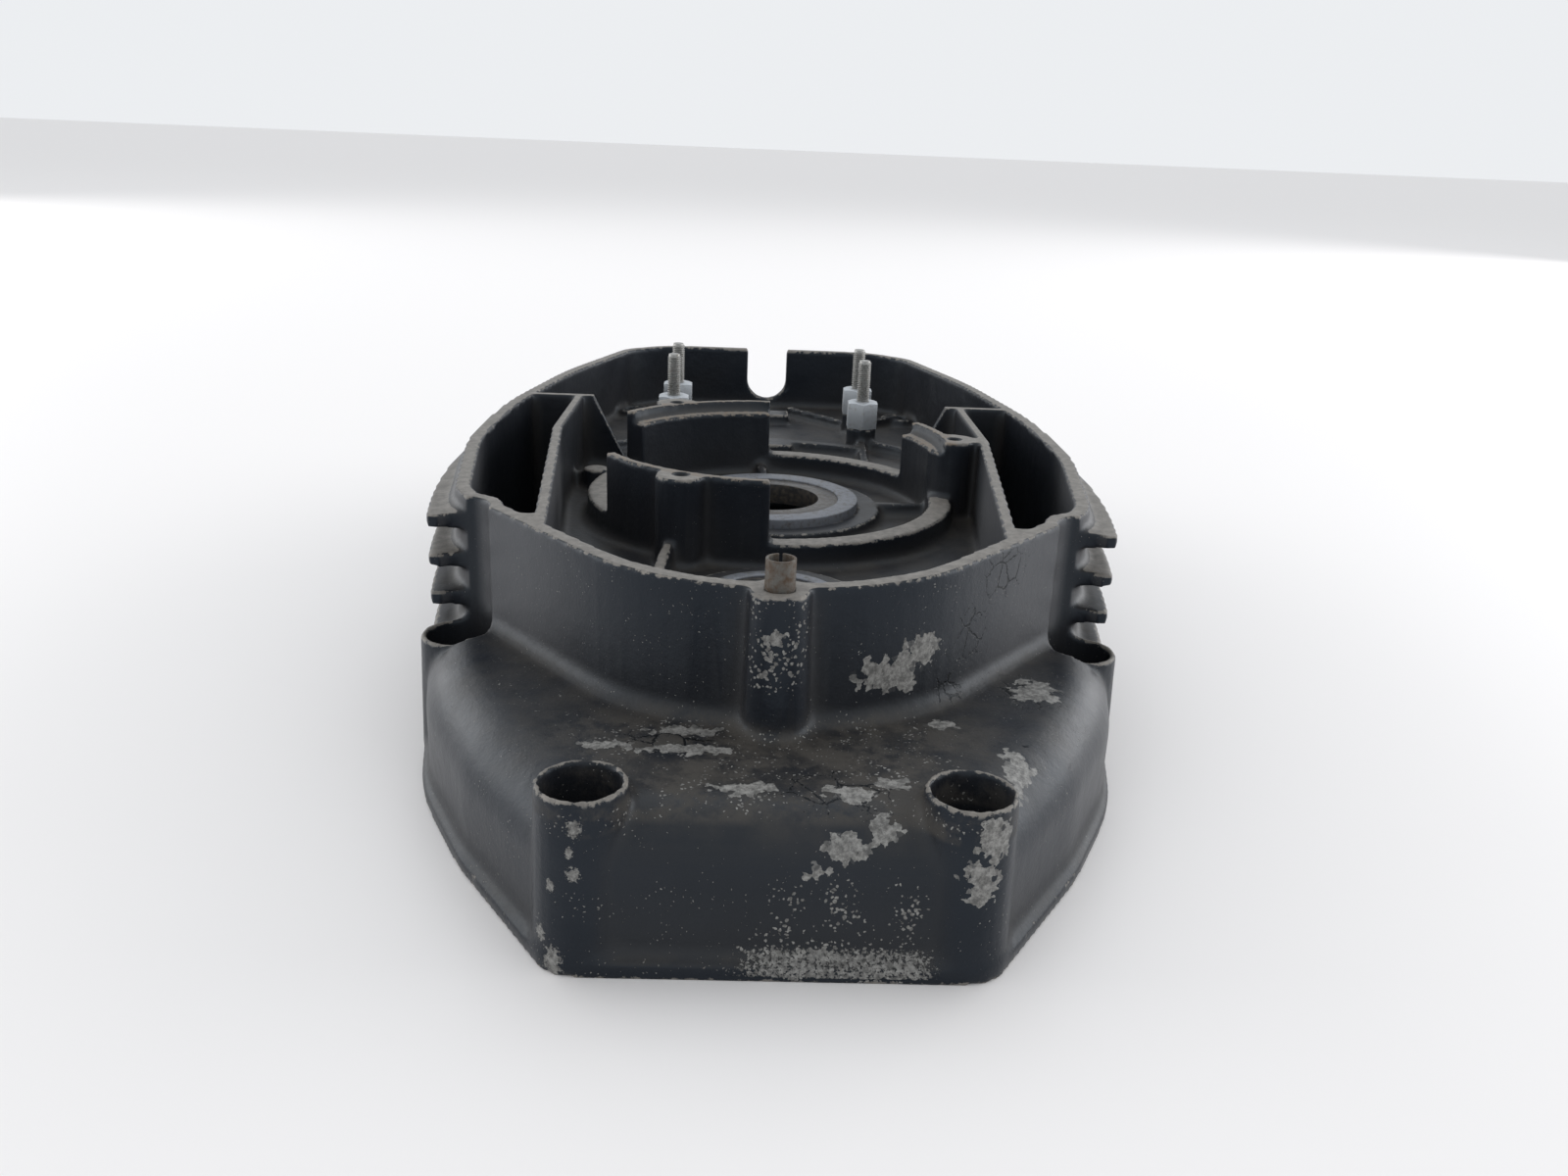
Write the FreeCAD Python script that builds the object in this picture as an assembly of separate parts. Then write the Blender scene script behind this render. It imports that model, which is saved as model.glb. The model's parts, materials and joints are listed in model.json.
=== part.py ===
import FreeCAD, Part
import math
import os

# Engine front cover of a small four-stroke engine, lying on its mating face with its outer side up.
# Millimetres. +Z points away from the engine, the mating face is z = 0, +Y runs from the bottom end
# of the cover to the end with the cable slot, and the cover is symmetrical about x = 0 except for
# the alternator cup. Shapes are drawn about the crank axis and moved by save() at the end, so that
# the origin is the middle of the mating face.

# ---- overall sizes ----
frontReach = 185.0        # crank axis to the front edge of the mating flange
rearReach = 178.0         # crank axis to the rear edge of the mating flange
rimHeight = 63.0          # mating face to the top of the rim
rimFront = 142.0          # crank axis to the outside of the rim's front wall
rimHalfWidth = 89.5       # half the width of the rim wall at its widest
rimWall = 4.2             # thickness of the rim wall
skin = 4.5                # thickness of the floors and of the shoulder
flangeHeight = 3.5        # thickness of the mating flange
flangeLip = 2.5           # how far the mating flange stands out from the body
rearDraft = 3.0           # the flange stands this far behind the rim's rear wall
flangeLand = 8.0          # width of the mating face round the cavity

# ---- the shoulder in front of the rim ----
shoulderHeight = 32.0     # mating face to the top of the shoulder
shoulderRound = 13.0      # radius of the shoulder's outer edge
wallFillet = 4.0          # radius between the shoulder and the rim wall
shoulderCorner = 17.0     # plan radius of the shoulder's corners, more than shoulderRound
frontFlat = 39.8          # half the length of the straight front edge
shoulderRear = 40.0       # crank axis to the shoulder's back edge, which lies under the rim
shoulderRearInset = 16.5  # rim's half width to the corners of that edge

# ---- plan corners, each: in from the rim's half width, along from its reference edge, plan radius ----
bowedSide = [(-0.8, -14.0, 200.0), (1.0, 40.0, 260.0), (11.2, 102.0, 260.0)]     # from the crank axis
rearCorner = [(28.5, -14.5, 20.0), (45.0, 0.0, 25.0)]                            # from the rear edge
rimCheek = [(64.0, 0.0, 54.0), (8.6, 66.5, 30.0)]                                # from the rim's front
flangeCheek = [(23.5, 36.0, 60.0), (8.0, 67.0, 80.0), (-0.4, 108.0, 110.0)]      # from the flange's front
shoulderCheek = [(25.0, 35.0, 60.0), (9.5, 66.0, 80.0), (2.3, 100.5, 30.0)]      # from the shoulder's front
flangeSide = 2.0          # how far the flange's bowed side stands out from the rim's
flangeCorner = 9.0        # plan radius at the ends of the straight front edge

# ---- floors ----
floorHeight = 38.0        # mating face to the alternator room's floor
pocketFloor = 12.0        # mating face to the floor of the side pockets
partitionX = 66.5         # crank axis to the middle of a partition, beside the pocket's rear wall
partitionToe = 54.0       # the same where the partition meets the front wall
partitionWall = 3.2       # thickness of the partitions
pocketRear = 55.0         # crank axis to the middle of the pockets' rear wall
pocketBend = 5.0          # where the partition starts to turn inwards
pocketFront = 93.0        # crank axis to the front end of the pockets
partitionFoot = 30.0      # rim's front wall to where the partition reaches its toe
partitionTurn = 4.0       # how far the room narrows in front of the toe
cavityInset = 1.0         # how much thicker the wall is below the floors than above them
tubeRelief = 0.5          # how far a pocket's wall is drawn in where it passes a side screw tube
gussetTop = 5.0           # length of the gusset's flat top

# ---- crank bearing and seal ----
shaftDia = 30.0           # crank nose
bearingOd = 62.0
bearingWidth = 16.0
bearingPitch = 46.0       # pitch circle of the balls
ballDia = 9.525
ballCount = 9
bearingPlay = 0.02        # radial gap between a ball and its tracks
crankBossTop = 41.5
crankBossWall = 7.0       # wall round the seal
bearingSeat = 15.5        # mating face to the bearing's lower face
circlipWidth = 1.5
circlipDepth = 1.4        # depth of the circlip's groove
circlipPlay = 0.1         # between the circlip and the bottom of its groove
circlipBand = 4.0         # radial width of the circlip
circlipEye = 3.0          # radius of the round end that holds an eye
circlipEyeHole = 1.1
circlipEyeAngle = 9.0     # each eye from the middle of the gap, degrees
circlipGap = 3.2
bearingLedge = 5.0        # radial width of the step above the bearing
bearingShoulder = 0.30    # height of a race's shoulder from the pitch circle, in ball diameters
cageGap = 0.6             # between the cage and a race's shoulder
cagePlay = 0.1            # between a ball and its pocket in the cage
cageHeight = 1.2          # height of the ball cage, in ball diameters
crankBossDrop = 4.0       # how far the boss reaches below the bearing
sealOd = 55.0
sealWidth = 8.0
sealProud = 2.5           # how far the seal stands out of its boss
sealSkin = 1.2            # thickness of the seal's steel case
lipGap = 0.17             # between the lip's bore and the shaft, with no shaft fitted
lipWidth = 3.4            # radial thickness of the lip under its spring
springWire = 0.9          # radius of the garter spring's ring
springHeight = 3.1        # seal's lower face to the middle of the spring
lipWebLow = 2.6           # seal's top face to the under side of the rubber web
lipWebHigh = 0.5          # seal's top face to the top of the rubber web

# ---- camshaft seal ----
camDistance = 87.0        # crank axis to camshaft axis
camShaftDia = 20.0
camSealOd = 34.0
camSealWidth = 7.0
camSealProud = 1.0
camBossWall = 6.0
camBossTop = 41.5
camBossDrop = 4.0         # how far the boss reaches below the floor's under side
camLedge = 3.0            # radial width of the step under the seal

# ---- alternator cup ----
statorSeat = 53.5         # radius that locates the stator
cupRadius = 56.5          # outside of the cup
ledgeRadius = 49.5        # inside of the cup below the seat
seatDepth = 3.5           # rim plane to the ledge
cupRibHeight = 45.3       # mating face to the top of the low ring between the tall arcs
arcCount = 3
farArc = (90.0, 148.0)    # start and end of each tall arc, degrees from +X
nearArc = (212.0, 269.0)
rightArc = (4.0, 30.0)
lugRadius = 7.0
lugCircle = 57.3          # crank axis to the stator screws
lugStart = 4.0            # direction of the first stator screw
lugHole = 2.1             # radius of the M5 core hole
lugDepth = 20.0

# ---- cover screws ----
screwHole = 3.3           # radius of the M6 clearance hole
frontBossX = 36.2
frontBossInset = 9.8      # flange's front edge to the boss axis
frontBossTop = 36.0
frontTubeRadius = 7.6
frontTubeWall = 1.25
sideBossY = -88.8
sideBossInset = 12.0      # rim's half width to the boss axis
sideBossTop = 30.3
sideTubeRadius = 8.15
sideTubeWall = 1.3
tubeFloor = 9.0           # height of the face that the screw head sits on
tubeDraft = 0.9           # how much wider a tube is at its foot
pocketScrewY = 8.0
pocketScrewInset = 13.0   # rim's half width to the screw axis
rearScrewX = 56.0
rearScrewInset = 34.0     # flange's rear edge to the screw axis
screwPadRadius = 7.5
screwPadRise = 3.0

# ---- rectifier mounting ----
postX = 36.0
postFrontY = 95.0
postRearY = 122.0
postBossRadius = 5.6
postBossTop = 46.5
standoffFlats = 11.0      # across the flats of the hexagon
standoffTop = 56.5
standoffTurn = 30.0       # turn of the hexagon, in degrees
standoffCrown = 22.0      # how far the cone that takes off the top corners widens down to the foot
standoffEdge = 0.4        # flat left off the standoff's top corners
studRadius = 2.5
studCore = 2.1            # the screwed-in length and its hole are drawn at the thread's core
studTop = 72.0
studGrip = 7.0            # length of stud screwed into the boss
studChamfer = 0.6

# ---- locating sleeve on the front wall ----
sleeveRadius = 3.2        # a rolled sleeve for a 6 mm hole is 6.4 mm across while it is free
sleeveWall = 0.6
sleeveTop = 69.5
sleeveDepth = 12.0        # length held in its boss
sleeveSqueeze = 0.2       # how much smaller in radius the sleeve is where its boss holds it
sleeveSlit = 0.8
sleeveBossRadius = 6.5
sleeveBossDraft = 1.5     # how much wider the column is at its foot

# ---- cable slot in the rear wall ----
slotHalfWidth = 8.4
slotBottom = 41.7         # mating face to the bottom of the slot's round end
slotDepth = 30.0          # how far in from the flange's rear edge the slot is cut

# ---- cooling fins ----
finTop = 58.6             # mating face to the top of the highest fin
finPitch = 10.1
finRoot = 4.8             # thickness of a fin at the wall
finEdge = 2.0             # thickness of a fin at its outer edge
finCount = 4
finReach = 2.0            # how far a fin stands out beyond the rim's widest point
finRearY = 45.0           # where the fins have run out into the wall
finFrontY = -83.0
finWidestY = -36.0
finFrontInset = 3.6       # the fin's front corner, in from the rim's half width
finRearInset = 4.5        # the same where it has run out
finRootInset = 14.0       # how deep into the side wall a fin's root is drawn

# ---- ribs ----
ribTop = 42.0
ribWidth = 3.0
crankWebs = (3, 93, 183)  # directions of the webs from the crank boss, degrees
cheekWeb = 38.0           # each web from the cup to a rectifier boss, degrees from the middle
frontWeb = (240.0, -31.0, 20.0)    # direction from the cup; end in x, and in from the rim's front
innerPostEnd = (10.0, 26.0)        # end of the web behind a rear rectifier boss: x, in from the rear edge
pocketWebEnd = 12.0       # behind the middle of the pockets' rear wall
cleatX = (-5.0, 9.0)      # the two cable cleats on the middle line
cleatFront = (22.0, 34.0)           # front cleat, out from the cup
cleatRear = (44.0, 34.0)            # rear cleat, in from the flange's rear edge
loomRing = (28.0, 33.0)   # inner and outer edge of the low ring behind the cup, out from the cup
loomPostRadius = 4.0
loomPostAngle = 158.0     # direction of the loom post, degrees
loomPostOut = 5.0         # cup to the post's axis
loomWebRise = 4.0         # how far the post's web slants towards the rear
loomWebDrop = 2.0         # post's top to the web's top

crankY = (frontReach - rearReach) / 2.0
big = 400.0               # longer than the whole cover
over = 1.0                # how far a cutting tool runs past the face that it cuts
close = 0.01              # nearer than this counts as touching


def vec(x, y, z=0.0):
    return FreeCAD.Vector(x, y, z)


def save(name, shape):
    shape.translate(vec(0, crankY))
    shape.exportStep("parts/" + name + ".step")


def cyl(radius, low, high, x=0.0, y=0.0):
    return Part.makeCylinder(radius, high - low, vec(x, y, low))


def ring(outer, inner, low, high, x=0.0, y=0.0):
    return cyl(outer, low, high, x, y).cut(cyl(inner, low - over, high + over, x, y))


def box(x0, x1, y0, y1, z0, z1):
    return Part.makeBox(x1 - x0, y1 - y0, z1 - z0, vec(x0, y0, z0))


def mirrored(shape):
    return shape.mirror(vec(0, 0), vec(1, 0))


def pair(shape):
    return [shape, mirrored(shape)]


def prism(wire, low, high):
    face = Part.Face(wire)
    face.translate(vec(0, 0, low))
    return face.extrude(vec(0, 0, high - low))


def polygon(points):
    return Part.makePolygon([vec(x, y) for x, y in points] + [vec(*points[0])])


def bar(start, end, width, low, high):
    # a straight upright rib from one plan point to another
    length = math.hypot(end[0] - start[0], end[1] - start[1])
    rib = box(0, length, -width / 2, width / 2, low, high)
    rib.rotate(vec(0, 0), vec(0, 0, 1), math.degrees(math.atan2(end[1] - start[1], end[0] - start[0])))
    rib.translate(vec(start[0], start[1]))
    return rib


def polar(radius, degrees):
    return radius * math.cos(math.radians(degrees)), radius * math.sin(math.radians(degrees))


def sector(outer, inner, angles, low, high):
    # part of an upright ring, between two directions in degrees
    start, end = angles
    rect = Part.makePolygon([vec(inner, 0, low), vec(outer, 0, low), vec(outer, 0, high),
                             vec(inner, 0, high), vec(inner, 0, low)])
    shape = Part.Face(rect).revolve(vec(0, 0), vec(0, 0, 1), end - start)
    shape.rotate(vec(0, 0), vec(0, 0, 1), start)
    return shape


def outline(corners):
    # closed wire from the corners of its right half, (x, y, radius), from the front middle to the rear middle
    left = [(-x, y, r) for x, y, r in reversed(corners) if x > 0]
    ends = []
    loop = corners + left
    for k, (x, y, r) in enumerate(loop):
        here = vec(x, y)
        back = (vec(*loop[k - 1][:2]) - here).normalize()
        ahead = (vec(*loop[(k + 1) % len(loop)][:2]) - here).normalize()
        half = back.getAngle(ahead) / 2
        if r == 0 or half > math.radians(89.9):
            ends.append([here])
            continue
        middle = (back + ahead).normalize()
        setback = r / math.tan(half)
        ends.append([here + back * setback, here + middle * (r / math.sin(half) - r), here + ahead * setback])
    edges = []
    for k, stop in enumerate(ends):
        if len(stop) == 3:
            edges.append(Part.Arc(*stop).toShape())
        edges.append(Part.LineSegment(stop[-1], ends[(k + 1) % len(ends)][0]).toShape())
    return Part.Wire(edges)


def placed(corners, edge, outset=0.0):
    # corners measured from the rim's half width and a reference edge, as plan points
    return [(rimHalfWidth + outset - inward, edge + along, r) for inward, along, r in corners]


def sideCorners(reach, outset):
    # corners shared by the outlines behind the shoulder: bowed sides and a squared rear end
    return placed(bowedSide, 0, outset) + placed(rearCorner, reach, outset) + [(0, reach, 0)]


def rimWire():
    # outside of the rim wall in plan: a round front, slanting cheeks, bowed sides, a squared rear end
    return outline([(0, -rimFront, 0)] + placed(rimCheek, -rimFront) + sideCorners(rearReach - rearDraft, 0))


def flangeWire(grow):
    # outside of the mating flange in plan, moved outwards by grow
    front = [(0, -frontReach, 0), (frontFlat + flangeSide, -frontReach, flangeCorner)]
    wire = outline(front + placed(flangeCheek, -frontReach) + sideCorners(rearReach, flangeSide))
    return wire.makeOffset2D(grow) if grow else wire


def shoulderWire(grow):
    # the lower body's front part, whose back edge lies under the rim
    reach = frontReach - flangeLip
    front = [(0, -reach, 0), (frontFlat + flangeSide / 2, -reach, shoulderCorner)]
    back = [(rimHalfWidth - shoulderRearInset, -shoulderRear, shoulderCorner), (0, -shoulderRear, 0)]
    wire = outline(front + placed(shoulderCheek, -reach) + back)
    return wire.makeOffset2D(grow) if grow else wire


def topEdges(shape, height):
    return [e for e in shape.Edges if all(abs(v.Z - height) < 1e-6 for v in e.Vertexes)]


def roomWire(gap):
    # plan of everything between the two partitions, gap short of their middle line
    x, toe, y = partitionX - gap, partitionToe - gap, pocketRear + gap
    right = [(toe - partitionTurn, -big), (toe, partitionFoot - rimFront), (x, pocketBend), (x, y),
             (big, y), (big, big)]
    return polygon(right + [(-px, py) for px, py in reversed(right)])


def pocketWire(gap):
    # plan of a side pocket, gap beyond the middle line of its partition
    x, toe, y = partitionX + gap, partitionToe + gap, pocketRear - gap
    slant = (x - toe) / (pocketBend + rimFront - partitionFoot)
    front = x - slant * (pocketBend + pocketFront)
    return polygon([(front, -pocketFront), (x, pocketBend), (x, y), (big, y), (big, -pocketFront)])


def cavity():
    # the chain space on the engine side
    half = partitionWall / 2
    inner = rimWire().makeOffset2D(-rimWall - cavityInset)
    deep = prism(inner, -over, floorHeight - skin).common(prism(roomWire(half), -over, floorHeight - skin))
    shallow = prism(flangeWire(-flangeLand), -over, pocketFloor - skin)
    front = prism(shoulderWire(-skin), -over, shoulderHeight - skin)
    front = front.makeFillet(shoulderRound - skin, topEdges(front, shoulderHeight - skin))
    pocketBlock = prism(pocketWire(half - partitionWall), pocketFloor - skin, rimHeight)
    front = front.cut(pocketBlock).cut(mirrored(pocketBlock))
    return deep.fuse([shallow, front])


def footEdges(shape):
    # edges where the rim wall meets the top of the shoulder
    foot = rimWire()
    foot.translate(vec(0, 0, shoulderHeight))
    found = []
    for edge in shape.Edges:
        middle = edge.valueAt((edge.FirstParameter + edge.LastParameter) / 2)
        if abs(middle.z - shoulderHeight) < close and foot.distToShape(Part.Vertex(middle))[0] < close:
            found.append(edge)
    return found


def shell():
    # flange, shoulder and rim wall, hollowed from both sides
    half = partitionWall / 2
    flange = prism(flangeWire(0), 0, flangeHeight)
    skirt = prism(flangeWire(-flangeLip), 0, pocketFloor)
    shoulder = prism(shoulderWire(0), 0, shoulderHeight)
    shoulder = shoulder.makeFillet(shoulderRound, topEdges(shoulder, shoulderHeight))
    rim = prism(rimWire(), 0, rimHeight)
    body = flange.fuse([skirt, shoulder, rim])
    body = body.makeFillet(wallFillet, footEdges(body))
    inner = rimWire().makeOffset2D(-rimWall)
    high = rimHeight + over
    room = prism(inner, floorHeight, high).common(prism(roomWire(half), floorHeight, high))
    pocket = prism(inner, pocketFloor, high).common(prism(pocketWire(half), pocketFloor, high))
    tube = sideTubeRadius + rimWall - tubeRelief
    pocket = pocket.cut(cyl(tube, 0, high, rimHalfWidth - sideBossInset, sideBossY))
    return body.cut([room, pocket, mirrored(pocket), cavity()])


def lugPlaces():
    return [polar(lugCircle, lugStart + 360.0 / arcCount * k) for k in range(arcCount)]


def cup():
    # low ring with three tall arcs that hold the stator, and the lugs for its screws
    low = ring(cupRadius, ledgeRadius, floorHeight - over, cupRibHeight)
    base = floorHeight - over
    arcs = [sector(cupRadius, ledgeRadius, a, base, rimHeight) for a in (farArc, nearArc, rightArc)]
    lugs = []
    for x, y in lugPlaces():
        lugs.append(cyl(lugRadius, floorHeight - over, rimHeight, x, y))
    x, y = lugPlaces()[0]
    web = box(x, partitionX, y - ribWidth, y + ribWidth, floorHeight - over, rimHeight)
    shape = low.fuse(arcs + lugs + [web])
    bowl = cyl(ledgeRadius, floorHeight, rimHeight + over)
    return shape.cut([cyl(statorSeat, rimHeight - seatDepth, rimHeight + over), bowl])


def ribs():
    # webs on the alternator room's floor
    low = floorHeight - over
    boss = sealOd / 2 + crankBossWall - over
    shapes = [bar(polar(boss, a), polar(ledgeRadius + over, a), ribWidth, low, ribTop) for a in crankWebs]
    for s in (-1, 1):
        front, rear = (postX * s, postFrontY), (postX * s, postRearY)
        shapes += [bar(polar(cupRadius - over, 90 - cheekWeb * s), front, ribWidth, low, ribTop),
                   bar(front, rear, 2 * ribWidth, low, ribTop),
                   bar(front, (s * (partitionX - over), pocketRear + pocketWebEnd), ribWidth, low, ribTop),
                   bar(rear, (s * rearScrewX, rearReach - rearScrewInset), ribWidth, low, ribTop),
                   bar(rear, (s * innerPostEnd[0], rearReach - innerPostEnd[1]), ribWidth, low, ribTop)]
    angle, endX, endInset = frontWeb
    start, end = polar(cupRadius - over, angle), (endX, endInset - rimFront)
    shapes.append(bar(start, end, ribWidth, low, cupRibHeight))
    shapes.append(box(*cleatX, cupRadius + cleatFront[0], cupRadius + cleatFront[1], low, ribTop))
    shapes.append(box(*cleatX, rearReach - cleatRear[0], rearReach - cleatRear[1], low, ribTop))
    shapes.append(ring(cupRadius + loomRing[1], cupRadius + loomRing[0], low, ribTop).common(
        box(-postX, postX, cupRadius, big, low, ribTop)))
    return shapes


def gusset():
    # triangular web from the corner of a pocket down to the floor
    y0, y1 = pocketRear - ribWidth / 2, pocketRear + ribWidth / 2
    drop = rimHeight - floorHeight
    top = partitionX - gussetTop
    points = [(partitionX, floorHeight - over), (partitionX, rimHeight), (top, rimHeight),
              (top - drop / 2, floorHeight), (top - drop / 2, floorHeight - over)]
    tri = Part.makePolygon([vec(x, y0, z) for x, z in points + points[:1]])
    return Part.Face(tri).extrude(vec(0, y1 - y0, 0))


def loomPost():
    # ribbed post beside the left partition, which guides the alternator's leads
    x, y = polar(cupRadius + loomPostOut, loomPostAngle)
    post = cyl(loomPostRadius, floorHeight - over, cupRibHeight, x, y)
    high = cupRibHeight - loomWebDrop
    web = bar((x, y), (-partitionX, y + loomWebRise), ribWidth, floorHeight - over, high)
    return post.fuse(web)


def fins():
    # tapered plates across the side wall, widest beside the bosses and running out towards the rear
    root, tip = rimHalfWidth - finRootInset, rimHalfWidth + finReach
    front, end = vec(rimHalfWidth - finFrontInset, finFrontY), vec(rimHalfWidth - finRearInset, finRearY)
    rootFront, rootEnd = vec(root, finFrontY), vec(root, finRearY)
    edges = [Part.LineSegment(rootFront, front), Part.Arc(front, vec(tip, finWidestY), end),
             Part.LineSegment(end, rootEnd), Part.LineSegment(rootEnd, rootFront)]
    plan = Part.Wire([edge.toShape() for edge in edges])
    section = [(root, 0), (tip + over, 0), (tip + over, -finEdge), (root, -finRoot), (root, 0)]
    inside = prism(rimWire().makeOffset2D(-rimWall / 2), 0, rimHeight)
    shapes = []
    for k in range(finCount):
        top = finTop - k * finPitch
        taper = Part.Face(Part.makePolygon([vec(x, finFrontY, top + z) for x, z in section]))
        plate = prism(plan, top - finRoot, top).common(taper.extrude(vec(0, finRearY - finFrontY)))
        shapes += pair(plate.cut(inside))
    return shapes


def screwTubes():
    # the four open tubes that the cover's front screws drop into: solids to add, holes to cut.
    # The holes go on upwards, so that the side tubes leave a flute for the socket in the rim wall.
    add, holes = [], []
    front = (frontBossX, frontBossInset - frontReach, frontBossTop, frontTubeRadius, frontTubeWall)
    side = (rimHalfWidth - sideBossInset, sideBossY, sideBossTop, sideTubeRadius, sideTubeWall)
    for x, y, top, r, wall in (front, side):
        cone = Part.makeCone(r + wall + tubeDraft, r + wall, top, vec(x, y, 0))
        add += pair(cone)
        holes += pair(cyl(r, tubeFloor, rimHeight + over, x, y))
        holes += pair(cyl(screwHole, -over, tubeFloor + over, x, y))
    return add, holes


def screwPads():
    # plain pads for the screws behind the shoulder: in each pocket and at the rear corners
    add, holes = [], []
    for x, y, top in ((rimHalfWidth - pocketScrewInset, pocketScrewY, pocketFloor),
                      (rearScrewX, rearReach - rearScrewInset, floorHeight)):
        add += pair(cyl(screwPadRadius, 0, top + screwPadRise, x, y))
        holes += pair(cyl(screwHole, -over, top + screwPadRise + over, x, y))
    return add, holes


def postPlaces():
    return [("front_left", -postX, postFrontY), ("front_right", postX, postFrontY),
            ("rear_left", -postX, postRearY), ("rear_right", postX, postRearY)]


def crankBoss():
    return cyl(bearingOd / 2 + crankBossWall, bearingSeat - crankBossDrop, floorHeight).fuse(
        cyl(sealOd / 2 + crankBossWall, floorHeight - over, crankBossTop))


def crankBore():
    sealLow = crankBossTop + sealProud - sealWidth
    bearingHigh = bearingSeat + bearingWidth
    clipLow = bearingSeat - circlipWidth
    return cyl(bearingOd / 2, 0, bearingHigh).fuse([
        cyl(bearingOd / 2 - bearingLedge, bearingHigh - over, sealLow + over),
        cyl(sealOd / 2, sealLow, rimHeight),
        cyl(bearingOd / 2 + circlipDepth, clipLow, bearingSeat)])


def camBoss():
    low = floorHeight - skin - camBossDrop
    return cyl(camSealOd / 2 + camBossWall, low, camBossTop, 0, -camDistance)


def camBore():
    sealLow = camBossTop + camSealProud - camSealWidth
    return cyl(camSealOd / 2, sealLow, rimHeight, 0, -camDistance).fuse(
        cyl(camSealOd / 2 - camLedge, 0, sealLow + over, 0, -camDistance))


def sleeveBoss():
    # half-round column down the front wall, under the locating sleeve
    column = Part.makeCone(sleeveBossRadius + sleeveBossDraft, sleeveBossRadius, rimHeight - flangeHeight,
                           vec(0, -rimFront, flangeHeight))
    return column.cut(cavity())


def cableSlot():
    low = slotBottom + slotHalfWidth
    y0, y1 = rearReach - slotDepth, rearReach + over
    cut = box(-slotHalfWidth, slotHalfWidth, y0, y1, low, rimHeight + over)
    end = Part.makeCylinder(slotHalfWidth, y1 - y0, vec(0, y0, low), vec(0, 1, 0))
    return cut.fuse(end)


def coverCasting():
    tubes, tubeHoles = screwTubes()
    pads, padHoles = screwPads()
    posts = [cyl(postBossRadius, floorHeight - over, postBossTop, x, y) for _, x, y in postPlaces()]
    studHoles = [cyl(studCore, postBossTop - studGrip, postBossTop + over, x, y) for _, x, y in postPlaces()]
    lugHoles = [cyl(lugHole, rimHeight - lugDepth, rimHeight + over, x, y) for x, y in lugPlaces()]
    sleeveHole = cyl(sleeveRadius - sleeveSqueeze, rimHeight - sleeveDepth, rimHeight + over, 0, -rimFront)
    body = shell().fuse([cup(), crankBoss(), camBoss(), sleeveBoss(), loomPost()] + pair(gusset())
                        + ribs() + fins() + tubes + pads + posts)
    body = body.cut([crankBore(), camBore(), cableSlot(), sleeveHole]
                    + tubeHoles + padHoles + studHoles + lugHoles)
    return body.removeSplitter()


def oilSeal(name, od, width, shaft, top, y):
    # steel case, rubber lip and garter spring of a shaft seal whose top face is at top
    low = top - width
    outer = od / 2
    lip = shaft / 2 + lipGap
    mid = (outer + lip) / 2
    case = ring(outer, outer - sealSkin, low, top, 0, y).fuse(
        ring(outer, mid, top - sealSkin, top, 0, y))
    rubber = ring(mid, lip, top - lipWebLow, top - lipWebHigh, 0, y).fuse([
        ring(outer - sealSkin, mid - over, top - lipWebLow, top - sealSkin, 0, y),
        ring(lip + lipWidth, lip, low + sealSkin, top - sealSkin, 0, y)])
    spring = Part.makeTorus(lip + lipWidth, springWire, vec(0, y, low + springHeight))
    rubber = rubber.cut([spring, case])
    save(name + "_seal_case", case.removeSplitter())
    save(name + "_seal_lip", rubber)
    save(name + "_seal_spring", spring)


def crankBearing():
    # deep-groove ball bearing with its ball cage and the circlip that holds it in
    mid = bearingSeat + bearingWidth / 2
    high = bearingSeat + bearingWidth
    track = Part.makeTorus(bearingPitch / 2, ballDia / 2 + bearingPlay, vec(0, 0, mid))
    shoulder = ballDia * bearingShoulder
    outer = ring(bearingOd / 2, bearingPitch / 2 + shoulder, bearingSeat, high).cut(track)
    inner = ring(bearingPitch / 2 - shoulder, shaftDia / 2, bearingSeat, high).cut(track)
    places = [polar(bearingPitch / 2, 360.0 / ballCount * k) for k in range(ballCount)]
    balls = [Part.makeSphere(ballDia / 2, vec(x, y, mid)) for x, y in places]
    reach, half = shoulder - cageGap, ballDia * cageHeight / 2
    cage = ring(bearingPitch / 2 + reach, bearingPitch / 2 - reach, mid - half, mid + half)
    pockets = [Part.makeCylinder(ballDia / 2 + cagePlay, bearingOd / 2, vec(0, 0, mid), vec(x, y))
               for x, y in places]
    save("crank_bearing_outer_race", outer)
    save("crank_bearing_inner_race", inner)
    save("crank_bearing_cage", cage.cut(pockets))
    save("crank_bearing_balls", Part.makeCompound(balls))


def circlip():
    # internal circlip with its gap and two eyes
    low, high = bearingSeat - circlipWidth, bearingSeat
    outer = bearingOd / 2 + circlipDepth - circlipPlay
    clip = ring(outer, outer - circlipBand, low, high)
    for s in (-1, 1):
        x, y = polar(outer - circlipBand, -90 + circlipEyeAngle * s)
        clip = clip.fuse(cyl(circlipEye, low, high, x, y))
        clip = clip.cut(cyl(circlipEyeHole, low - over, high + over, x, y))
    eyeDepth = circlipBand + circlipEye + over
    gap = box(-circlipGap / 2, circlipGap / 2, -outer - over, -outer + eyeDepth, low - over, high + over)
    save("crank_bearing_circlip", clip.cut(gap).removeSplitter())


def hexagon(flats, turn, low, high, x, y):
    corner = flats / 2 / math.cos(math.radians(30))
    points = [(x + polar(corner, turn + 60 * k)[0], y + polar(corner, turn + 60 * k)[1]) for k in range(6)]
    return prism(polygon(points), low, high)


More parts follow.
